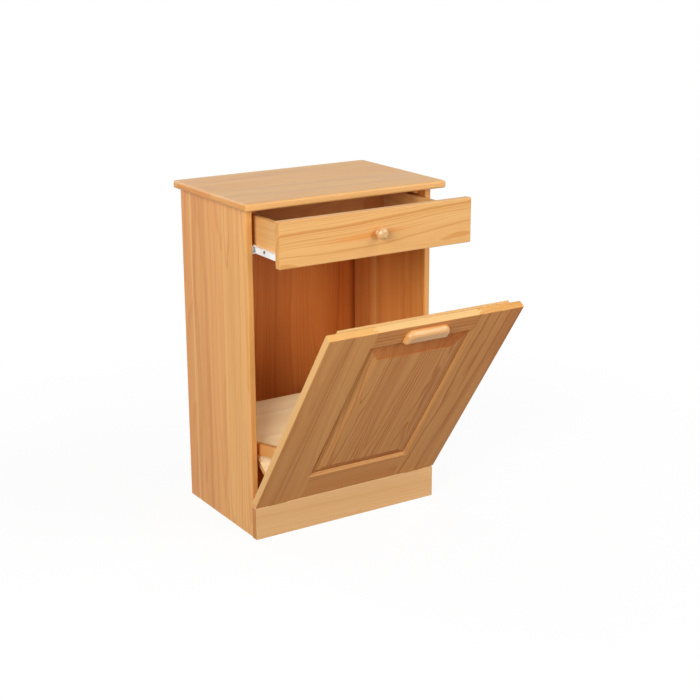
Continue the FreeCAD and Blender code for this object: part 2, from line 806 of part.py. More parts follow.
batten_holes = []
batten_screws = []
for side, sign in SIDES:
    solid, hole = screw(
        f"batten_screw_{side}",
        f"({sign}) * batten_hole_spacing / 2",
        ("batten_back", "front_inside - screw_grip"),
        "(batten_low + shelf_low) / 2",
    )
    batten_screws.append(solid)
    batten_holes.append(hole)
piece("batten_screws", "door", *batten_screws)

for end, rail_z, tongue_z, groove_z, edge, drillings in (
    (
        "top",
        ("opening_high", "door_high"),
        ("opening_high + panel_groove_depth", "door_high"),
        ("opening_high - 1", "opening_high + panel_groove_depth"),
        "+z",
        handle_holes,
    ),
    (
        "bottom",
        ("door_low", "opening_low"),
        ("door_low", "opening_low - panel_groove_depth"),
        ("opening_low - panel_groove_depth", "opening_low + 1"),
        "-z",
        batten_holes,
    ),
):
    plain = board(
        f"rail_{end}",
        ("-stile_edge", "stile_edge"),
        DOOR_Y,
        rail_z,
        "front_easing",
        (edge,),
        ("-x", "+x"),
    )
    parts = [plain]
    for side, sign in SIDES:
        tongue_x = span(sign, "stile_edge", "stile_edge + panel_groove_depth - joint_slack")
        parts.append(block(f"tongue_{end}_{side}", tongue_x, tongue_y, tongue_z))
    groove = block(f"rail_groove_{end}", ("-(stile_edge + 1)", "stile_edge + 1"), groove_y, groove_z)
    tongued = joined(f"rail_tongued_{end}", *parts)
    piece(f"door_rail_{end}", "door", less(f"rail_grooved_{end}", tongued, groove, sticking, *drillings))

# Raised panel: a plate in the grooves, a sloping border and a flat field
field_x = about("0", "stile_edge - panel_bevel")
field_z = ("opening_low + panel_bottom_bevel", "opening_high - panel_top_bevel")
shoulder = "front_face + panel_recess + panel_shoulder"
plate = block(
    "panel_plate",
    about("0", "stile_edge + panel_groove_depth - panel_slack"),
    tongue_y,
    ("opening_low - panel_groove_depth + panel_slack", "opening_high + panel_groove_depth - panel_slack"),
)
border = wedge(
    "panel_border",
    field_x,
    (shoulder, tongue_y[0]),
    field_z,
    about("0", "stile_edge - joint_slack"),
    ("opening_low + joint_slack", "opening_high - joint_slack"),
)
field = block("panel_field", field_x, ("front_face + panel_recess", shoulder), field_z)
piece("door_panel", "door", joined("panel_raised", plate, border, field))

# Door pull
handle = doc.addObject("PartDesign::Body", "handle_body")
handle_stock = handle.newObject("PartDesign::AdditiveBox", "handle_stock")
fit(
    handle_stock,
    about("0", "handle_length / 2"),
    ("front_face - handle_projection", "front_face"),
    ("handle_low", "handle_high"),
)
doc.recompute()
corner_edges = edges_on(handle_stock.Shape, ("+z",), ("-y", "+y"))
shoulders = ease(handle, "handle_shoulders", "handle_shoulder", corner_edges)
ease(handle, "handle_front", "handle_round", edges_on(shoulders.Shape, ("-y",)))
piece("door_handle", "door", less("handle_drilled", handle, *handle_holes))

# Lining, bin shelf, batten and braces behind the door
piece(
    "door_liner",
    "door",
    block(
        "liner_stock",
        ("-liner_half", "liner_half"),
        ("front_inside", "liner_back"),
        ("shelf_high", "door_high"),
    ),
)
shelf_stock = block(
    "shelf_stock",
    ("-shelf_half", "shelf_half"),
    ("front_inside", "shelf_back"),
    ("shelf_low", "shelf_high"),
)
batten_stock = block(
    "batten_stock",
    ("-(shelf_half - brace_thickness)", "shelf_half - brace_thickness"),
    ("front_inside", "batten_back"),
    ("batten_low", "shelf_low"),
)
shelf_screws = []
shelf_holes = []
for number, spot in enumerate(("-shelf_half * 0.7", "0", "shelf_half * 0.7")):
    solid, hole = screw(
        f"shelf_screw_{number}",
        spot,
        "front_inside + batten_depth * 0.7",
        ("shelf_high - screw_head_height", "shelf_low - batten_height * 0.7"),
        "screw",
        True,
    )
    shelf_screws.append(solid)
    shelf_holes.append(hole)
brace_screws = []
brace_holes = []
for side, sign in SIDES:
    solid, hole = screw(
        f"brace_screw_{side}",
        f"({sign}) * (shelf_half - brace_thickness / 2)",
        "liner_back + brace_leg - brace_foot * 0.6",
        ("shelf_low", "shelf_high + screw_grip"),
    )
    brace_screws.append(solid)
    brace_holes.append(hole)
    body = doc.addObject("PartDesign::Body", f"brace_{side}_body")
    profile = outline(
        body,
        f"brace_{side}_profile",
        (
            ("liner_back", "shelf_high + brace_leg - brace_foot"),
            ("liner_back + brace_leg - brace_foot", "shelf_high"),
            ("liner_back + brace_leg", "shelf_high"),
            ("liner_back", "shelf_high + brace_leg"),
        ),
    )
    pad = body.newObject("PartDesign::Pad", f"brace_{side}_pad")
    pad.Profile = profile
    bind(pad, Length="brace_thickness")
    body.Placement = FreeCAD.Placement(
        FreeCAD.Vector(),
        FreeCAD.Rotation(FreeCAD.Vector(1, 1, 1), 120),
    )
    place(body, span(sign, "shelf_half - brace_thickness", "shelf_half")[0], "0", "0")
    piece(f"shelf_brace_{side}", "door", less(f"brace_{side}_drilled", body, hole))
piece("bin_shelf", "door", less("shelf_drilled", shelf_stock, *shelf_holes, *brace_holes))
piece("shelf_batten", "door", less("batten_drilled", batten_stock, *shelf_holes, *batten_holes))
piece("shelf_screws", "door", *shelf_screws)
piece("brace_screws", "door", *brace_screws)

doc.recompute()
for feature in doc.Objects:
    if "Invalid" in feature.State or "Error" in feature.State:
        raise RuntimeError(f"{feature.Label} did not rebuild")
os.makedirs("parts", exist_ok=True)
for whole in pieces:
    if whole.Shape.isNull() or not whole.Shape.isValid() or not whole.Shape.Solids:
        raise RuntimeError(f"{whole.Label} has no sound shape")
    whole.Shape.exportStep(f"parts/{whole.Label}.step")
    bounds = whole.Shape.BoundBox
    print(
        f"{whole.Label}: {len(whole.Shape.Solids)} solid(s), "
        f"x {bounds.XMin:.1f} {bounds.XMax:.1f}, y {bounds.YMin:.1f} {bounds.YMax:.1f}, "
        f"z {bounds.ZMin:.1f} {bounds.ZMax:.1f}"
    )
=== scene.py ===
"""Looks for a tilt-out trash cabinet: lacquered pine, plywood, white steel runners and plated fittings.

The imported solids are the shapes. This script gives each of them its finish, and adds the floor, the light
and the camera of the photograph. Lengths are in metres, in the frame of the solids: X runs along the front,
Y goes into the cabinet and Z goes up.
"""

import math
from dataclasses import dataclass

import bpy
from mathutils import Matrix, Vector

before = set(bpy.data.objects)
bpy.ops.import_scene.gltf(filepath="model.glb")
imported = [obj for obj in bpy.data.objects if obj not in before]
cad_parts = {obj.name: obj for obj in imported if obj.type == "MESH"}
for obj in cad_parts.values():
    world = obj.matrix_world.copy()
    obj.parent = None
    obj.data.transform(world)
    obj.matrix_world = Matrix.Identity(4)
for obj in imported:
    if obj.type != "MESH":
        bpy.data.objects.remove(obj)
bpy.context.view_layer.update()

# The open door's boards are cut in the door's own frame, which leans forward about the hinges
DOOR_TILT = math.radians(34.5)
DOOR_HINGE = (0.0, -0.007, 0.08125)
ACROSS_DOOR = {"location": DOOR_HINGE, "rotation": (DOOR_TILT, 0.0, 0.0)}
UPRIGHT = {"location": (0.0, 0.0, 0.0), "rotation": (0.0, 0.0, 0.0)}


def linear(red, green, blue):
    """A shader colour from the 0 to 255 values of a picture."""
    shares = (red / 255, green / 255, blue / 255)
    return (*(s / 12.92 if s <= 0.04045 else ((s + 0.055) / 1.055) ** 2.4 for s in shares), 1.0)


SOCKETS = {
    "base_color": "Base Color",
    "roughness": "Roughness",
    "metallic": "Metallic",
    "specular_ior_level": "Specular IOR Level",
}


class Graph:
    """A node tree, with a short call for each kind of node that the finishes use."""

    def __init__(self, tree):
        self.tree = tree

    def put(self, socket, value):
        """A socket takes another node's output, or a plain number or colour."""
        if isinstance(value, bpy.types.NodeSocket):
            self.tree.links.new(value, socket)
        else:
            socket.default_value = value

    def node(self, kind, inputs, **settings):
        made = self.tree.nodes.new("ShaderNode" + kind)
        for setting, value in settings.items():
            setattr(made, setting, value)
        for socket, value in inputs.items():
            self.put(made.inputs[socket], value)
        return made

    def math(self, operation, first, second=0.0, clamp=False):
        return self.node("Math", {0: first, 1: second}, operation=operation, use_clamp=clamp).outputs[0]

    def sum(self, *terms):
        total = terms[0]
        for term in terms[1:]:
            total = self.math("ADD", total, term)
        return total

    def product(self, first, second):
        return self.math("MULTIPLY", first, second)

    def scaled(self, value, factor, offset=0.0):
        """value times factor, plus offset."""
        return self.node("Math", {0: value, 1: factor, 2: offset}, operation="MULTIPLY_ADD").outputs[0]

    def swing(self, value, depth):
        """A value from 0 to 1, turned into a swing of that depth about 0."""
        return self.scaled(value, depth, -depth / 2)

    def held(self, value):
        """The value, held between 0 and 1."""
        return self.math("ADD", value, 0.0, True)

    def ramp(self, value, low, high, to_low=0.0, to_high=1.0):
        """value from low to high, eased between to_low and to_high and held there outside."""
        inputs = {"Value": value, "From Min": low, "From Max": high, "To Min": to_low, "To Max": to_high}
        return self.node("MapRange", inputs, interpolation_type="SMOOTHSTEP").outputs[0]

    def line(self, value, start, peak):
        """A line that rises from start to peak and falls again up to 1."""
        return self.product(self.ramp(value, start, peak), self.ramp(value, peak, 1.0, 1.0, 0.0))

    def length(self, first, second):
        """The long side of a right-angled triangle."""
        squares = self.sum(self.product(first, first), self.product(second, second))
        return self.math("SQRT", squares)

    def noise(self, vector, scale, detail):
        inputs = {"Vector": vector, "Scale": scale, "Detail": detail}
        return self.node("TexNoise", inputs, noise_dimensions="3D").outputs

    def grain_noise(self, place, along, across, detail=2.0):
        """Noise drawn out along the grain, with its waves per metre along and across it."""
        lengths = (along, across, across)
        stretched = [self.scaled(part, factor) for part, factor in zip(place, lengths)]
        vector = self.node("CombineXYZ", dict(enumerate(stretched))).outputs[0]
        return self.noise(vector, 1.0, detail)

    def mixed(self, factor, first, second, blend="MIX"):
        made = self.node("Mix", {0: factor, 6: first, 7: second}, data_type="RGBA", blend_type=blend)
        return made.outputs[2]

    def parts(self, vector):
        return self.node("SeparateXYZ", {0: vector}).outputs

    def channels(self, colour):
        return self.node("SeparateColor", {0: colour}).outputs


class Finish(Graph):
    """A material's nodes, round its own shader."""

    def __init__(self, name):
        self.material = bpy.data.materials.new(name)
        self.material.use_nodes = True
        super().__init__(self.material.node_tree)
        self.shader = self.tree.nodes["Principled BSDF"]
        self.place = self.node("TexCoord", {}).outputs

    def bump(self, height, distance, strength):
        inputs = {"Height": height, "Distance": distance, "Strength": strength}
        self.put(self.shader.inputs["Normal"], self.node("Bump", inputs).outputs[0])

    def shade(self, **values):
        """Set the shader's own sockets and give the material."""
        for name, value in values.items():
            self.put(self.shader.inputs[SOCKETS[name]], value)
        return self.material

    def board_axes(self, axes, lie):
        """The place along the grain, across the board and through it, and the face's turn to each."""
        turned = []
        for source, shift in (("Object", lie["location"]), ("Normal", (0.0, 0.0, 0.0))):
            inputs = {"Vector": self.place[source], "Location": shift, "Rotation": lie["rotation"]}
            mapped = self.parts(self.node("Mapping", inputs, vector_type="TEXTURE").outputs[0])
            turned.append([mapped["XYZ".index(axis)] for axis in axes.upper()])
        place, facing = turned
        return place, [self.math("ABSOLUTE", part) for part in facing]


# Pine in the tones of the photograph: early wood, late wood and the blush of some strips
GOLDEN = (linear(240, 182, 107), linear(204, 128, 57), linear(227, 149, 82))
STRAW = (linear(237, 191, 125), linear(204, 140, 70), linear(230, 158, 86))
PALE = (linear(236, 195, 140), linear(208, 152, 95), linear(226, 168, 110))
# The tan wood is a darker, redder copy of the same pine: a painted shade for the tilted door and the drawer
# back, which sit in shade
TAN_PAINTED_SHADE = (linear(233, 168, 101), linear(189, 112, 52), linear(208, 132, 75))
SAPWOOD = linear(246, 208, 142)
FLAME = linear(226, 142, 60)

# Tints that a board's colour is multiplied by
# Painted shade for the inner faces of the back and the right side, which sit in shade inside the cabinet
PAINTED_INNER_SHADE = linear(255, 215, 182)
PAINTED_WARM_INNER_SHADE = linear(248, 226, 206)
# Painted shadow in the inner corner where the back meets the right side
PAINTED_CORNER_SHADOW = linear(186, 150, 140)
END_GRAIN = linear(250, 238, 208)
TOP_ENDS = linear(246, 216, 160)
# The kick's ends are its end grain, darkened further by a painted shade of the joint with the sides
KICK_ENDS_AND_SHADE = linear(222, 186, 130)
PANEL_ENDS = linear(222, 176, 138)
GLUE_LINE = linear(176, 140, 104)

# Noise in the wood, in waves per metre along and across the grain
DRIFT_WAVES = (2.0, 9.0)
BAND_WAVES = (1.1, 42.0)
THREAD_WAVES = (2.5, 230.0)
FIBRE_WAVES = (14.0, 560.0)
PORE_WAVES = (70.0, 900.0)
PORE_BORDER = (0.60, 0.72)

# Year rings
STRIP_SHIFT = 9.0  # how far apart along the log strips are cut
HEART_ASIDE = 0.06  # room across a strip in which the log's middle lies
RING_WAVES = 90.0  # waves per metre of the rings' unevenness
RING_SHIFT = 3.0  # by how many rings it moves them
LATE_WOOD = (0.55, 0.92)  # share of a year at which late wood starts and is darkest

# Shares of dark wood in the colour
PLAIN_SHARE = 0.26
FIBRE_DEPTH = 0.30
YEAR_DEPTH = 0.5
FLECK_DEPTH = 0.10

# Glue lines, pale stripes, flames, edges and ends
SEAM_WIDTH = 0.0007
SEAM_CORE = 0.4  # share of that width which is fully dark
SEAM_ON_ENDS = 0.2
STRIPE_DEPTH = 0.7
FLAME_BORDER = (0.2, 1.0)
FLAME_DEPTH = 0.75
FLAME_BANDS = (0.35, 0.65)
FLAME_RAGGED = 1.2
EDGE_TURN = (0.5, 0.9)  # turn of a face at which a narrow edge starts and is full
END_TURN = (0.6, 0.95)  # turn of a face to the grain at which end grain starts and is full
END_CHANCE = 0.4  # how far strips differ in the tint of their ends

# Lacquer
PINE_ROUGH = 0.42
LATE_POLISH = -0.05
FIBRE_ROUGH = 0.10
LATE_RELIEF = 0.35
FLECK_RELIEF = -0.4
PINE_RELIEF = (0.00018, 0.35)  # distance and strength of the bump


@dataclass
class Flame:
    """An orange flame in the wood: its middle, its half sizes and how it rises along the grain."""

    along: float
    across: float
    half_along: float
    half_across: float
    rise: float


@dataclass
class Board:
    """A pine board: how it is glued up from strips, how they were cut from the log, and how it looks."""

    wood: tuple = GOLDEN  # its early wood, late wood and blush
    strip: float = 0.06  # width of a strip
    spread: float = 0.7  # how uneven the widths are
    start: float = 0.0  # place and chance of the first strip
    seam: float = 0.12  # how dark the glue line is
    vary: float = 0.16  # how far strips differ in tone
    face: float = 0.0  # place of the board's face on the axis through it
    ring: float = 0.0032  # width of a year ring
    heart: tuple = (0.08, 0.22)  # least and most depth of the log's middle behind the face
    slope: float = 0.02  # how much the log leans into the board along its length
    slant: float = 0.0  # how much it leans across the board
    bow: float = 0.0  # how much it curves
    sway: float = 0.012  # how far the rings wander
    tone: float = 0.0  # darkens the whole board
    lines: float = 0.22  # depth of the year rings
    streaks: float = 0.45  # depth of the broad streaks
    threads: float = 0.34  # depth of the fine lines
    edge: float = 0.0  # how pale the narrow edges and the ends are
    ends: tuple = END_TURN  # turn of a face to the grain at which it takes the tint of the ends
    end_tint: tuple = END_GRAIN  # tint of the ends
    end_lines: float = 1.0  # share of the year rings that shows on the ends
    inner: tuple = ()  # places through the board between which its inner face takes a painted shade
    inner_tint: tuple = PAINTED_INNER_SHADE  # tint of the painted shade on its inner face
    corner: tuple = ()  # places across its inner face between which a painted shadow darkens it towards a corner
    gloss: float = 0.26  # how strongly the lacquer mirrors
    sapwood: tuple = ()  # sharp and soft border of a pale stripe across the board
    flame: Flame = None


def pine(name, axes, lie=UPRIGHT, **kind):
    """Lacquered pine, glued up from strips: each is cut from its own log, with year rings round its heart.

    axes names the axes along the grain, across the strips and through the board.
    """
    b = Board(**kind)
    g = Finish(name)
    place, facing = g.board_axes(axes, lie)
    along, across, through = place

    # Strips
    cell = {"W": g.scaled(across, 1 / b.strip, b.start), "Scale": 1.0, "Randomness": b.spread}
    strips = g.node("TexVoronoi", cell, voronoi_dimensions="1D").outputs
    borders = g.node("TexVoronoi", cell, voronoi_dimensions="1D", feature="DISTANCE_TO_EDGE").outputs
    chance = g.channels(strips["Color"])
    middle = g.product(g.math("SUBTRACT", strips["W"], b.start), b.strip)
    own_place = (g.scaled(chance[1], STRIP_SHIFT, along), across, through)

    # Year rings round the heart of each strip's log
    drift = g.channels(g.grain_noise(own_place, *DRIFT_WAVES, 3.0)["Color"])
    aside = g.sum(
        g.math("SUBTRACT", across, middle),
        g.scaled(along, -b.slant),
        g.swing(chance[0], HEART_ASIDE),
        g.scaled(drift[0], b.sway),
    )
    deep = g.sum(
        g.scaled(chance[1], b.heart[1] - b.heart[0], b.heart[0] - b.face),
        through,
        g.product(along, g.swing(chance[2], 2 * b.slope)),
        g.scaled(g.product(along, along), b.bow),
        g.scaled(drift[1], b.sway),
    )
    radius = g.length(aside, deep)
    wave = {"W": g.scaled(radius, RING_WAVES), "Scale": 1.0, "Detail": 3.0, "Roughness": 0.6}
    uneven = g.node("TexNoise", wave, noise_dimensions="1D").outputs[0]
    year = g.math("FRACT", g.sum(g.scaled(radius, 1 / b.ring), g.scaled(uneven, RING_SHIFT)))
    late = g.line(year, *LATE_WOOD)
    shown_late = g.product(late, g.ramp(facing[0], *b.ends, 1.0, b.end_lines))

    # Colour of the wood
    thread = g.grain_noise(own_place, *THREAD_WAVES)[0]
    fibre = g.grain_noise(place, *FIBRE_WAVES)[0]
    pore = g.grain_noise(place, *PORE_WAVES, 1.0)[0]
    band = g.grain_noise(own_place, *BAND_WAVES, 3.0)[0]
    flecks = g.ramp(pore, *PORE_BORDER)
    share = g.sum(
        g.scaled(shown_late, b.lines, PLAIN_SHARE + b.tone),
        g.swing(thread, b.threads),
        g.swing(fibre, FIBRE_DEPTH),
        g.swing(band, b.streaks),
        g.swing(uneven, YEAR_DEPTH),
        g.swing(chance[2], b.vary),
        g.scaled(flecks, FLECK_DEPTH),
    )
    pale, dark, blush = b.wood
    colour = g.mixed(g.held(share), pale, dark)
    colour = g.mixed(g.scaled(chance[0], b.vary * 2), colour, blush)
    if b.sapwood:
        sharp, soft = b.sapwood
        fading = g.ramp(across, sharp, soft, STRIPE_DEPTH, 0.0)
        stripe = g.product(g.ramp(across, sharp, sharp + SEAM_WIDTH), fading)
        colour = g.mixed(stripe, colour, SAPWOOD)
    if b.flame:
        f = b.flame
        risen = g.sum(across, g.scaled(along, -f.rise))
        off = g.length(
            g.scaled(along, 1 / f.half_along, -f.along / f.half_along),
            g.scaled(risen, 1 / f.half_across, -f.across / f.half_across),
        )
        ragged = g.sum(off, g.swing(drift[2], FLAME_RAGGED))
        flame = g.product(g.ramp(ragged, *FLAME_BORDER, FLAME_DEPTH, 0.0), g.ramp(band, *FLAME_BANDS))
        colour = g.mixed(flame, colour, FLAME)

    # Painted shade on inner faces, a painted shadow in a corner, narrow edges, ends and glue lines
    if b.inner:
        # painted shade on the inner face
        inner_shade_mask = g.ramp(through, *b.inner, 1.0, 0.0)
        colour = g.mixed(inner_shade_mask, colour, b.inner_tint, "MULTIPLY")
        if b.corner:
            # painted shadow that darkens the inner face towards a corner
            corner_shadow_mask = g.product(inner_shade_mask, g.ramp(across, *b.corner))
            colour = g.mixed(corner_shadow_mask, colour, PAINTED_CORNER_SHADOW, "MULTIPLY")
    narrow = g.math("MAXIMUM", facing[0], facing[1])
    colour = g.mixed(g.ramp(narrow, *EDGE_TURN, 0.0, b.edge), colour, SAPWOOD)
    end_share = g.product(g.ramp(facing[0], *b.ends), g.scaled(chance[2], END_CHANCE, 1.0 - END_CHANCE))
    colour = g.mixed(end_share, colour, b.end_tint, "MULTIPLY")
    seam_width = SEAM_WIDTH / b.strip
    seam = g.ramp(borders["Distance"], SEAM_CORE * seam_width, seam_width, b.seam, 0.0)
    glue = g.product(seam, g.ramp(facing[0], *END_TURN, 1.0, SEAM_ON_ENDS))
    colour = g.mixed(glue, colour, GLUE_LINE, "MULTIPLY")

    rough = g.sum(g.scaled(late, LATE_POLISH, PINE_ROUGH), g.swing(fibre, FIBRE_ROUGH))
    g.bump(g.sum(g.scaled(late, LATE_RELIEF), g.scaled(flecks, FLECK_RELIEF), fibre), *PINE_RELIEF)
    return g.shade(base_color=colour, roughness=rough, specular_ior_level=b.gloss)


# Plywood: early and late wood of the face, and two tones of the layers on its edges
BIRCH = (linear(255, 231, 184), linear(236, 199, 145))
MERANTI = (linear(196, 124, 78), linear(164, 92, 54))
PLY_EDGE = linear(238, 192, 124)
PLY_CORE = linear(206, 152, 92)
VENEER = 0.0014
LAND_WAVES = (1.7, 7.0)
CONTOURS = 15.0
CONTOUR_LINE = (0.10, 0.85)
CONTOUR_DEPTH = 0.36
CONTOUR_RELIEF = 0.4
PLY_PLAIN = 0.10
PLY_FIBRE_WAVES = (20.0, 520.0)
PLY_FIBRE_DEPTH = 0.36
LAYER_BORDER = (0.44, 0.56)
FACE_TURN = (0.3, 0.6)
PLY_RELIEF = (0.00015, 0.3)
PLY_ROUGH = (0.16, 0.46)
PLY_GLOSS = 0.2


def plywood(name, veneer, axes, lie=UPRIGHT):
    """Peeled veneer, with the map-like lines of a knife that goes round the log, and layers on its edges."""
    g = Finish(name)
    place, facing = g.board_axes(axes, lie)
    land = g.grain_noise(place, *LAND_WAVES)[0]
    contour = g.math("FRACT", g.scaled(land, CONTOURS))
    line = g.line(contour, *CONTOUR_LINE)
    fibre = g.grain_noise(place, *PLY_FIBRE_WAVES)[0]
    share = g.sum(g.scaled(line, CONTOUR_DEPTH, PLY_PLAIN), g.swing(fibre, PLY_FIBRE_DEPTH))
    face = g.mixed(g.held(share), *veneer)
    layer = g.math("FRACT", g.scaled(place[2], 0.5 / VENEER))
    layers = g.mixed(g.ramp(layer, *LAYER_BORDER), PLY_EDGE, PLY_CORE)
    colour = g.mixed(g.ramp(facing[2], *FACE_TURN), layers, face)
    g.bump(g.sum(g.scaled(line, CONTOUR_RELIEF), fibre), *PLY_RELIEF)
    rough = g.scaled(fibre, *PLY_ROUGH)
    return g.shade(base_color=colour, roughness=rough, specular_ior_level=PLY_GLOSS)


# Hardwood of the knob, the pull and the pegs
MAPLE = (linear(226, 185, 131), linear(207, 152, 97))
ALDER = (linear(236, 181, 115), linear(212, 145, 82))
STREAK_WAVES = (9.0, 190.0)
STREAK_DEPTH = (1.1, -0.25)
HARD_PORE_WAVES = (130.0, 1100.0)
HARD_PORE_BORDER = (0.62, 0.74)
HARD_FLECK_DEPTH = 0.22
HARD_END_TURN = (0.5, 0.95)
HARD_END_DEPTH = 0.4
HARD_FLECK_RELIEF = -0.5
HARD_RELIEF = (0.00008, 0.25)
HARD_ROUGH = (0.10, 0.15)
HARD_GLOSS = 0.45


def turned_wood(name, wood, axes, lie=UPRIGHT):
    """Pale close-grained hardwood, sanded smooth and lacquered, with short darker flecks."""
    g = Finish(name)
    place, facing = g.board_axes(axes, lie)
    streak = g.grain_noise(place, *STREAK_WAVES, 3.0)[0]
    flecks = g.ramp(g.grain_noise(place, *HARD_PORE_WAVES, 1.0)[0], *HARD_PORE_BORDER)
    share = g.sum(g.scaled(streak, *STREAK_DEPTH), g.scaled(flecks, HARD_FLECK_DEPTH))
    colour = g.mixed(g.held(share), *wood)
    end_share = g.ramp(facing[0], *HARD_END_TURN, 0.0, HARD_END_DEPTH)
    colour = g.mixed(end_share, colour, END_GRAIN, "MULTIPLY")
    g.bump(g.sum(g.scaled(flecks, HARD_FLECK_RELIEF), streak), *HARD_RELIEF)
    rough = g.scaled(streak, *HARD_ROUGH)
    return g.shade(base_color=colour, roughness=rough, specular_ior_level=HARD_GLOSS)


# Enamel and nylon: a colour and its dusty shade
ENAMEL = (linear(252, 252, 250), linear(244, 243, 239))
ENAMEL_ROUGH = 0.38
NYLON = (linear(238, 236, 228), linear(228, 225, 214))
NYLON_ROUGH = 0.46
SKIN_WAVES = 900.0
SKIN_RELIEF = (0.00012, 0.25)
DUST_WAVES = 28.0
DUST_BORDER = (0.35, 0.75)
DUST_ROUGH = 0.2


def enamel(name, colour, shade, rough):
    """Powder-coated sheet or moulded plastic: an even colour, a fine pebbled skin and a little dust."""
    g = Finish(name)
    skin = g.noise(g.place["Object"], SKIN_WAVES, 2.0)[0]
    dust = g.noise(g.place["Object"], DUST_WAVES, 3.0)[0]
    g.bump(skin, *SKIN_RELIEF)
    tint = g.mixed(g.ramp(dust, *DUST_BORDER), colour, shade)
    return g.shade(base_color=tint, roughness=g.scaled(dust, DUST_ROUGH, rough - DUST_ROUGH / 2))


# Plating: a colour and its cloudy shade
ZINC = (linear(150, 149, 146), linear(124, 124, 124))
BRASS = (linear(206, 160, 92), linear(176, 128, 66))
CLOUD_WAVES = 160.0
CLOUD_BORDER = (0.3, 0.7)
DRAWN_WAVES = (60.0, 2600.0, 2600.0)
DRAWN_RELIEF = (0.00004, 0.2)
PLATE_ROUGH = (0.3, 0.34)


def plated(name, colour, shade):
    """Plated metal with a satin sheen, cloudy patches and fine drawing lines."""
    g = Finish(name)
    cloud = g.noise(g.place["Object"], CLOUD_WAVES, 4.0)[0]
    drawn = g.node("Mapping", {"Vector": g.place["Object"], "Scale": DRAWN_WAVES}).outputs[0]
    g.bump(g.noise(drawn, 1.0, 1.0)[0], *DRAWN_RELIEF)
    tint = g.mixed(g.ramp(cloud, *CLOUD_BORDER), colour, shade)
    return g.shade(base_color=tint, roughness=g.scaled(cloud, *PLATE_ROUGH), metallic=1.0)


def dress(material, *names):
    for name in names:
        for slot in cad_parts[name].material_slots:
            slot.material = material


def seam_at(place, strip, chance):
    """The start that puts a seam between even strips at a place. chance picks the strips beside it."""
    return chance + 0.5 - place / strip


# Carcass
TOP_RINGS = -0.813  # a face far below the top board, which makes its year rings nearly flat
SIDE_FACE = 0.254
# places through the right side between which its inner face takes a painted shade
SIDE_INNER_SHADE_SPAN = (SIDE_FACE - 0.016, SIDE_FACE - 0.012)
SIDE_SLOPE = 0.008
SIDE_SEAM = 0.288
SIDE_STRIP = 0.08
LEFT_SAPWOOD = (SIDE_SEAM - 0.001, SIDE_SEAM + 0.006)
RIGHT_SAPWOOD = (0.221, 0.256)
BACK_FACE = 0.336
# places through the back between which its inner face takes a painted shade
BACK_INNER_SHADE_SPAN = (BACK_FACE - 0.010, BACK_FACE - 0.006)
# places across the back's inner face over which a painted shadow darkens it into the corner with the right
# side
BACK_CORNER_SHADOW_SPAN = (0.214, 0.237)

top = pine("pine_top", "xyz", wood=STRAW, strip=0.09, start=0.3, face=TOP_RINGS, end_tint=TOP_ENDS)
dress(top, "top_board")

side_left = pine(
    "pine_side_left",
    "zyx",
    strip=SIDE_STRIP,
    spread=0.0,
    start=seam_at(SIDE_SEAM, SIDE_STRIP, 14),
    face=-SIDE_FACE,
    slope=SIDE_SLOPE,
    streaks=0.9,
    lines=0.42,
    vary=0.28,
    sapwood=LEFT_SAPWOOD,
)
dress(side_left, "side_panel_left")

side_right = pine(
    "pine_side_right",
    "zyx",
    start=3.7,
    face=SIDE_FACE,
    slope=SIDE_SLOPE,
    streaks=0.8,
    sapwood=RIGHT_SAPWOOD,
    # painted shade on the inner face
    inner=SIDE_INNER_SHADE_SPAN,
    inner_tint=PAINTED_WARM_INNER_SHADE,
)
dress(side_right, "side_panel_right")

back = pine(
    "pine_back",
    "zxy",
    strip=0.10,
    start=5.1,
    face=BACK_FACE,
    vary=0.06,
    lines=0.32,
    # painted shade on the inner face, and a painted shadow in the corner by the right side
    inner=BACK_INNER_SHADE_SPAN,
    corner=BACK_CORNER_SHADOW_SPAN,
)
dress(back, "back_panel")

dress(pine("pine_floor", "xyz", strip=0.08, start=7.4), "floor_board")
# its end tint is end grain plus a painted shade at the joint with the sides
kick = pine("pine_kick", "xzy", wood=PALE, strip=0.3, start=2.6, slope=0.01, end_tint=KICK_ENDS_AND_SHADE)
dress(kick, "kickboard")
dress(pine("pine_cleats", "yxz", strip=0.2, start=1.3), "top_cleat_left", "top_cleat_right")

# Drawer, with a flat-sawn front whose grain rises to the right
FRONT_FACE = -0.147
FRONT_STRIP = 0.5
FRONT_HEART = 0.127
KNOB_HEIGHT = 0.74
HEART_HEIGHT = KNOB_HEIGHT - 0.03

drawer_front = pine(
    "pine_drawer_front",
    "xzy",
    wood=STRAW,
    strip=FRONT_STRIP,
    spread=0.0,
    start=8.0 - HEART_HEIGHT / FRONT_STRIP,
    face=FRONT_FACE,
    heart=(FRONT_HEART, FRONT_HEART),
    slope=0.0,
    slant=0.035,
    bow=-0.01,
    lines=0.52,
    flame=Flame(along=-0.02, across=KNOB_HEIGHT, half_along=0.20, half_across=0.017, rise=0.07),
)
dress(drawer_front, "drawer_front")

drawer_sides = pine("pine_drawer_sides", "yzx", wood=STRAW, strip=0.3, start=4.2)
dress(drawer_sides, "drawer_side_left", "drawer_side_right")
# The drawer back takes the tan pine, a painted shade for its shaded place under the top
dress(pine("pine_drawer_back", "xzy", wood=TAN_PAINTED_SHADE, strip=0.3, start=9.7), "drawer_back")

# Door
STILE_SEAM = 0.196
STILE_STRIP = 0.08
WIDE_RINGS = 0.006
# The door's boards take the tan pine, a painted shade for the door's face, which leans forward and down into
# shade
DOOR_LOOK = {"lie": ACROSS_DOOR, "wood": TAN_PAINTED_SHADE, "gloss": 0.06}

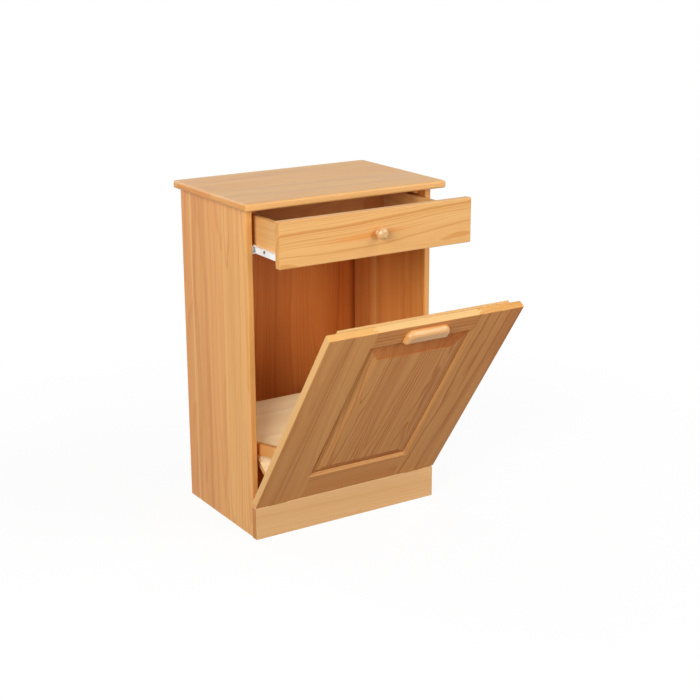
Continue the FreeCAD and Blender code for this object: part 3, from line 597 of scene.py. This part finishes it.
stile_left = pine(
    "pine_stile_left",
    "zxy",
    strip=STILE_STRIP,
    spread=0.0,
    seam=0.9,
    edge=0.5,
    lines=0.2,
    heart=(0.16, 0.3),
    slope=0.004,
    sway=0.006,
    start=seam_at(-STILE_SEAM, STILE_STRIP, 11),
    **DOOR_LOOK,
)
dress(stile_left, "door_stile_left")

stile_right = pine(
    "pine_stile_right",
    "zxy",
    strip=STILE_STRIP,
    spread=0.0,
    seam=0.3,
    streaks=0.8,
    ring=WIDE_RINGS,
    lines=0.75,
    edge=0.4,
    start=seam_at(STILE_SEAM, STILE_STRIP, 20),
    **DOOR_LOOK,
)
dress(stile_right, "door_stile_right")

rails = pine("pine_rails", "xzy", strip=0.4, start=6.5, edge=0.7, ring=WIDE_RINGS, lines=0.7, **DOOR_LOOK)
dress(rails, "door_rail_top", "door_rail_bottom")

panel = pine(
    "pine_panel",
    "zxy",
    strip=0.096,
    start=13.2,
    ring=0.0042,
    heart=(0.03, 0.07),
    lines=0.6,
    streaks=1.3,
    tone=-0.03,
    sway=0.03,
    ends=(0.05, 0.14),
    end_tint=PANEL_ENDS,
    end_lines=0.3,
    **DOOR_LOOK,
)
dress(panel, "door_panel")

dress(pine("pine_batten", "xzy", ACROSS_DOOR, strip=0.2, start=15.4), "shelf_batten")
braces = pine("pine_braces", "yzx", ACROSS_DOOR, strip=0.3, start=17.3)
dress(braces, "shelf_brace_left", "shelf_brace_right")

dress(plywood("ply_drawer_bottom", MERANTI, "xyz"), "drawer_bottom")
dress(plywood("ply_shelf", BIRCH, "xyz", ACROSS_DOOR), "bin_shelf")
dress(plywood("ply_liner", BIRCH, "zxy", ACROSS_DOOR), "door_liner")

dress(turned_wood("knob_wood", MAPLE, "yxz"), "drawer_knob")
dress(turned_wood("handle_wood", ALDER, "xzy", ACROSS_DOOR), "door_handle")
dress(turned_wood("peg_wood", MAPLE, "xyz"), "stop_pegs")

# Steel and plastic
dress(enamel("white_enamel", *ENAMEL, ENAMEL_ROUGH),
      "runner_track_left", "runner_track_right", "drawer_rail_left", "drawer_rail_right")
dress(enamel("roller_nylon", *NYLON, NYLON_ROUGH),
      "front_roller_left", "front_roller_right", "rear_roller_left", "rear_roller_right")
dress(plated("zinc", *ZINC),
      *(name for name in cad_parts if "screw" in name and "hinge" not in name))
dress(plated("brass", *BRASS),
      *(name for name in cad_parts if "hinge" in name))

# Floor and light all round
WHITE = (1.0, 1.0, 1.0, 1.0)
FLOOR_SIZE = 40.0
FLOOR_MIDDLE = (0.0, 0.1, 0.0)
FLOOR_BOUNCE = (0.25, 0.25, 0.25, 1.0)
FLOOR_SHADE = 0.09
FLOOR_FADE = (0.7, 1.6)
SKY_LIGHT = 0.08


def seen_white(g):
    """1 for rays that come from the camera, a gloss or a glass, and 0 for those that carry light."""
    path = g.node("LightPath", {}).outputs
    mirrored = g.math("MAXIMUM", path["Is Glossy Ray"], path["Is Transmission Ray"])
    return g.math("MAXIMUM", path["Is Camera Ray"], mirrored)


def floor():
    """A pale floor that keeps the object's soft shadow and fades to plain white further out."""
    bpy.ops.mesh.primitive_plane_add(size=FLOOR_SIZE, location=FLOOR_MIDDLE)
    plane = bpy.context.object
    plane.name = "floor"
    g = Finish("floor_white")
    out = g.node("VectorMath", {0: g.place["Object"]}, operation="LENGTH").outputs["Value"]
    shade = g.ramp(out, *FLOOR_FADE, FLOOR_SHADE, 0.0)
    lit = g.node("BsdfDiffuse", {"Color": WHITE}).outputs[0]
    bright = g.node("Emission", {"Color": WHITE, "Strength": 1.0}).outputs[0]
    shown = g.node("MixShader", {0: shade, 1: bright, 2: lit}).outputs[0]
    bounce = g.node("BsdfDiffuse", {"Color": FLOOR_BOUNCE}).outputs[0]
    both = g.node("MixShader", {0: seen_white(g), 1: bounce, 2: shown}).outputs[0]
    g.put(g.tree.nodes["Material Output"].inputs["Surface"], both)
    plane.data.materials.append(g.material)


def sky():
    """An even soft light from all round, seen as plain white."""
    world = bpy.data.worlds.new("studio")
    world.use_nodes = True
    bpy.context.scene.world = world
    g = Graph(world.node_tree)
    background = g.tree.nodes["Background"]
    g.put(background.inputs["Color"], WHITE)
    g.put(background.inputs["Strength"], g.scaled(seen_white(g), 1.0 - SKY_LIGHT, SKY_LIGHT))


# Lamps: azimuth, elevation, size and power. Azimuth 0 is in front of the object, and 90 on its left
SUBJECT = Vector((0.0, 0.0, 0.42))
LAMP_DISTANCE = 4.0
LAMPS = {
    "key_light": (57.0, 22.0, 2.2, 134.0),
    "right_light": (-54.0, 42.0, 2.4, 72.0),
    "low_light": (-22.0, 15.0, 1.4, 46.0),
    "back_light": (165.0, 24.0, 3.6, 80.0),
}


def softbox(name, azimuth, elevation, size, power):
    """A square lamp that looks at the object."""
    round_by = math.radians(azimuth)
    up = math.radians(elevation)
    out = math.cos(up)
    away = Vector((-math.sin(round_by) * out, -math.cos(round_by) * out, math.sin(up)))
    lamp = bpy.data.lights.new(name, "AREA")
    lamp.shape = "SQUARE"
    lamp.size = size
    lamp.energy = power
    holder = bpy.data.objects.new(name, lamp)
    holder.location = SUBJECT + away * LAMP_DISTANCE
    holder.rotation_euler = (-away).to_track_quat("-Z", "Y").to_euler()
    bpy.context.scene.collection.objects.link(holder)


# The photograph's camera
EYE = (-1.7532, -2.7797, 1.4274)
EYE_TURN = (73.076, 0.189, -32.519)
LENS = 73.991
SENSOR = 36.0


def camera():
    eye = bpy.data.objects.new("camera", bpy.data.cameras.new("camera"))
    eye.data.lens = LENS
    eye.data.sensor_width = SENSOR
    eye.location = EYE
    eye.rotation_euler = [math.radians(turn) for turn in EYE_TURN]
    bpy.context.scene.collection.objects.link(eye)
    bpy.context.scene.camera = eye


floor()
sky()
for lamp_name, lamp_values in LAMPS.items():
    softbox(lamp_name, *lamp_values)
camera()
bpy.context.scene.view_settings.view_transform = "Standard"
